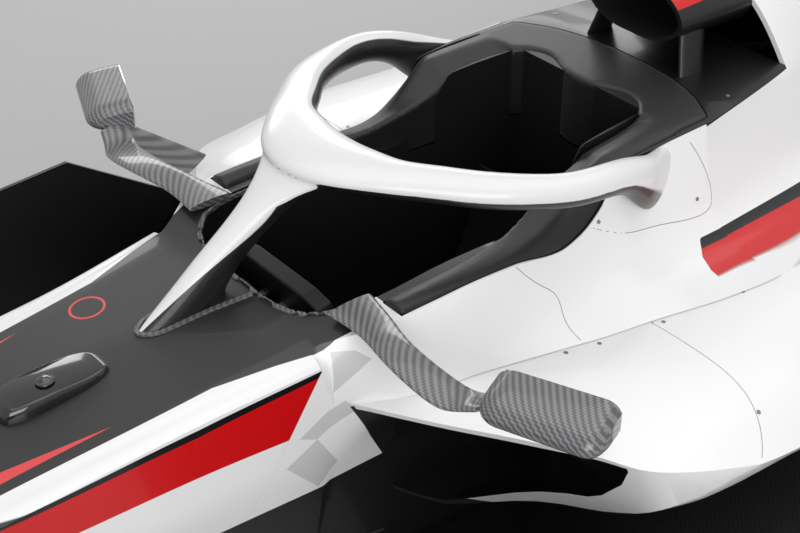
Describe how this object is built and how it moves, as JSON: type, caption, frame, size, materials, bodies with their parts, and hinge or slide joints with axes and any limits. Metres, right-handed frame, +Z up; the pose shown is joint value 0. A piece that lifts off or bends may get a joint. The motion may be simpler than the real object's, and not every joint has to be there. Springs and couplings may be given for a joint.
{
  "type": "open wheel racing car",
  "caption": "Single seat open wheel racing car with a halo over the hollow cockpit, hollow sidepod inlets, wings with movable flaps, steered front wheels and four free rolling wheels",
  "frame": {"origin": "on the ground, under the middle of the car's length and width", "axes": "X is the car's left, Y runs backward with the nose at the low end, Z is up"},
  "size_m": [1.9, 5.4, 0.98],
  "materials": {
    "body_paint": "glossy white paint on composite panels",
    "dark_carbon": "woven carbon composite",
    "gloss_black": "glossy black",
    "pad": "black satin skin over foam",
    "grip": "black grips on a composite plate",
    "tyre_rubber": "smooth slick tyre",
    "rim_metal": "dark satin forged wheel",
    "steel": "machined steel",
    "alloy": "cast alloy",
    "exhaust_metal": "heat tinted thin steel",
    "mirror_pane": "mirror glass",
    "lamp": "red lens",
    "skid": "pressed wood composite plank"
  },
  "bodies": {
    "chassis": {"airbox": "dark_carbon", "camera_pod": "gloss_black", "cockpit_surround": "pad", "dash": "dark_carbon", "diffuser": "dark_carbon", "engine_cover": "body_paint", "exhaust": "exhaust_metal", "floor": "dark_carbon", "floor_board_left": "dark_carbon", "floor_board_right": "dark_carbon", "front_endplate_left": "body_paint", "front_endplate_right": "body_paint", "front_wing_main": "dark_carbon", "front_wishbones_left": "dark_carbon", "front_wishbones_right": "dark_carbon", "gearbox": "alloy", "halo": "body_paint", "mirror_glass": "mirror_pane", "mirror_left": "dark_carbon", "mirror_right": "dark_carbon", "monocoque": "body_paint", "nose_cone": "body_paint", "plank": "skid", "power_unit": "alloy", "radiator_left": "alloy", "radiator_right": "alloy", "rear_endplate_left": "body_paint", "rear_endplate_right": "body_paint", "rear_light": "lamp", "rear_pylon": "dark_carbon", "rear_suspension_left": "dark_carbon", "rear_suspension_right": "dark_carbon", "rear_wing_main": "dark_carbon", "seat": "dark_carbon", "sidepod_left": "body_paint", "sidepod_right": "body_paint"},
    "front_knuckle_left": {"front_upright_left": "dark_carbon"},
    "front_knuckle_right": {"front_upright_right": "dark_carbon"},
    "front_wheel_left": {"front_rim_left": "rim_metal", "front_tyre_left": "tyre_rubber"},
    "front_wheel_right": {"front_rim_right": "rim_metal", "front_tyre_right": "tyre_rubber"},
    "rear_wheel_left": {"rear_rim_left": "rim_metal", "rear_tyre_left": "tyre_rubber", "driveshaft_left": "steel"},
    "rear_wheel_right": {"rear_rim_right": "rim_metal", "rear_tyre_right": "tyre_rubber", "driveshaft_right": "steel"},
    "rack": {"steering_rack": "steel"},
    "steering": {"steering_wheel": "grip", "steering_column": "steel"},
    "flap_front_left": {"front_flap_left": "body_paint"},
    "flap_front_right": {"front_flap_right": "body_paint"},
    "flap_rear": {"rear_flap": "body_paint"}
  },
  "joints": [
    {"name": "steer_left", "type": "hinge", "parent": "chassis", "child": "front_knuckle_left", "pos_m": [0.752, -1.52, 0.352], "axis": [0, 0, 1], "range_deg": [-18, 18]},
    {"name": "steer_right", "type": "hinge", "parent": "chassis", "child": "front_knuckle_right", "pos_m": [-0.752, -1.52, 0.352], "axis": [0, 0, 1], "range_deg": [-18, 18]},
    {"name": "rack_slide", "type": "slide", "parent": "chassis", "child": "rack", "axis": [1, 0, 0], "range_m": [-0.036, 0.036]},
    {"name": "steering_wheel_turn", "type": "hinge", "parent": "chassis", "child": "steering", "pos_m": [0, -0.318, 0.58], "axis": [0, 0.9703, 0.2419], "range_deg": [-148, 148]},
    {"name": "front_left_spin", "type": "hinge", "parent": "front_knuckle_left", "child": "front_wheel_left", "pos_m": [0.81, -1.52, 0.352], "axis": [1, 0, 0], "continuous": true},
    {"name": "front_right_spin", "type": "hinge", "parent": "front_knuckle_right", "child": "front_wheel_right", "pos_m": [-0.81, -1.52, 0.352], "axis": [1, 0, 0], "continuous": true},
    {"name": "rear_left_spin", "type": "hinge", "parent": "chassis", "child": "rear_wheel_left", "pos_m": [0.7625, 1.88, 0.355], "axis": [1, 0, 0], "continuous": true},
    {"name": "rear_right_spin", "type": "hinge", "parent": "chassis", "child": "rear_wheel_right", "pos_m": [-0.7625, 1.88, 0.355], "axis": [1, 0, 0], "continuous": true},
    {"name": "front_flap_left_tilt", "type": "hinge", "parent": "chassis", "child": "flap_front_left", "pos_m": [0.531, -2.32853, 0.16649], "axis": [0.9896, 0.1437, 0], "range_deg": [-14, 0]},
    {"name": "front_flap_right_tilt", "type": "hinge", "parent": "chassis", "child": "flap_front_right", "pos_m": [-0.531, -2.32853, 0.16649], "axis": [0.9896, -0.1437, 0], "range_deg": [-14, 0]},
    {"name": "rear_flap_tilt", "type": "hinge", "parent": "chassis", "child": "flap_rear", "pos_m": [0, 2.60857, 0.93829], "axis": [1, 0, 0], "range_deg": [-28, 0]}
  ],
  "couplings": [
    {"joint": "steer_right", "follows": "steer_left", "ratio": 1},
    {"joint": "rack_slide", "follows": "steer_left", "m_per_rad": 0.11},
    {"joint": "steering_wheel_turn", "follows": "steer_left", "ratio": 8}
  ]
}
